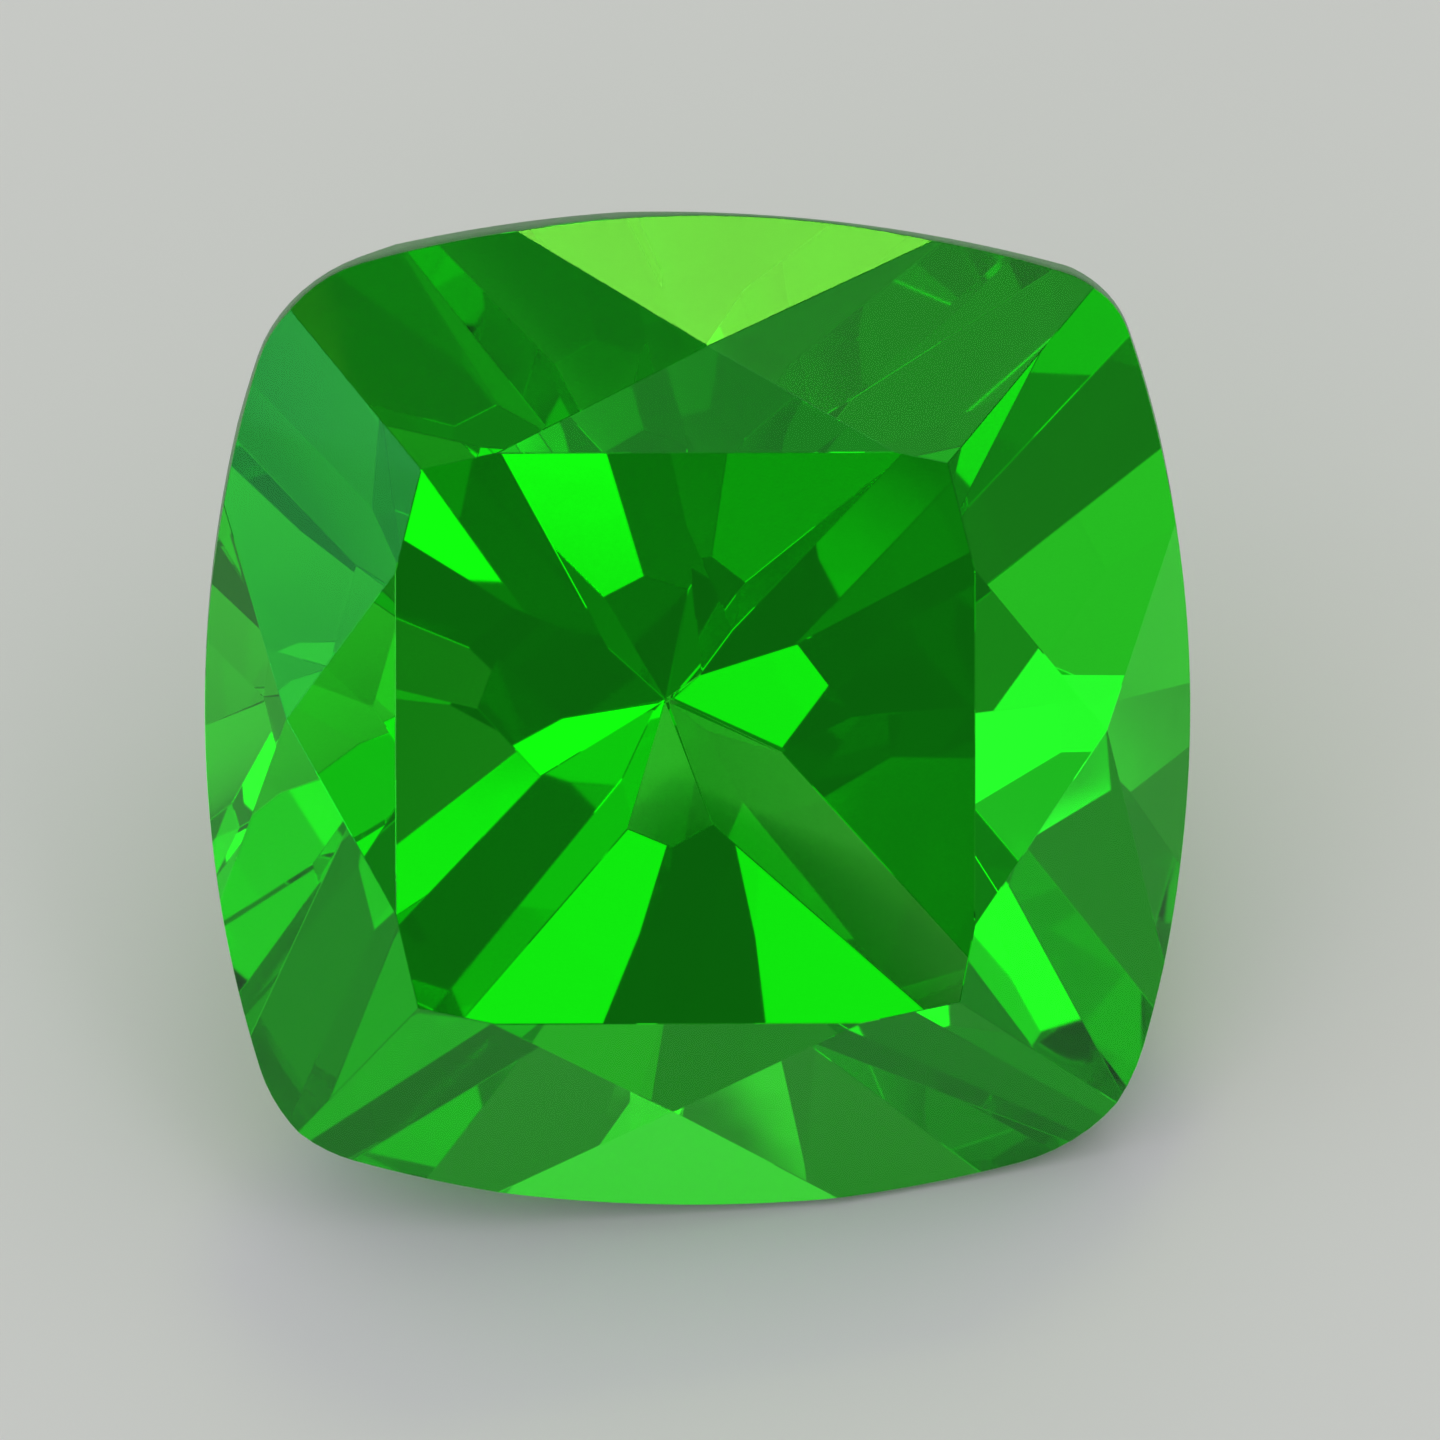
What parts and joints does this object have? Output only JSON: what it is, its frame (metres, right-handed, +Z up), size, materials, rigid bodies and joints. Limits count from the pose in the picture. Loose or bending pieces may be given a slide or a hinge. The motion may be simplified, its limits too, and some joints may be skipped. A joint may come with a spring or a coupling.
{
  "type": "cushion cut tourmaline",
  "caption": "Loose cushion cut green gemstone with a broad table, lying on a facet of its pavilion; made to be set or shown.",
  "frame": {"origin": "middle of the base of the stone's box, level with the surface that it lies on", "axes": "+Z up; -Y towards the viewer, which is also the side that the table leans to; +X to the viewer's right"},
  "size_m": [0.0082, 0.006, 0.0066],
  "materials": {
    "tourmaline": "polished"
  },
  "bodies": {
    "root": {"tourmaline": "tourmaline"}
  },
  "joints": []
}
